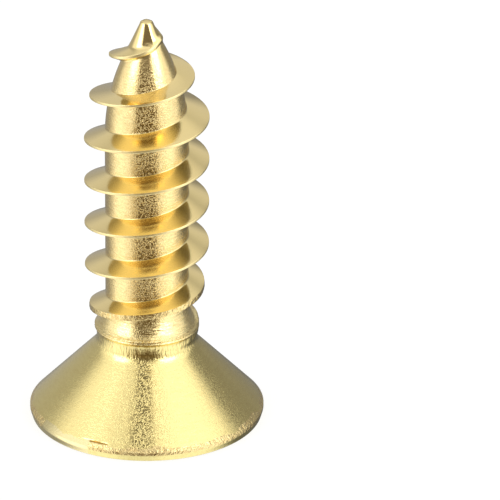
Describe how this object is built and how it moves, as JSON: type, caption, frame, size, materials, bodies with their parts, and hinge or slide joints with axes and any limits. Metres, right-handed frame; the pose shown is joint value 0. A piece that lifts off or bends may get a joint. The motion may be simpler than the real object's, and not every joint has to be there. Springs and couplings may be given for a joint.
{
  "type": "countersunk wood screw",
  "caption": "Short brass wood screw with a flat countersunk head, cross recess, coarse right-hand thread and gimlet point; fastens fittings to timber.",
  "frame": {"origin": "centre of the head's flat face, which the screw stands on", "axes": "+Z along the shank from the head to the point; +X and +Y along the wings of the cross recess"},
  "size_m": [0.0066, 0.0066, 0.012],
  "materials": {
    "brass": "bright brass, rolled and tumbled: satin on the head and the core, smoother on the thread's flanks"
  },
  "bodies": {
    "root": {"wood_screw": "brass"}
  },
  "joints": []
}
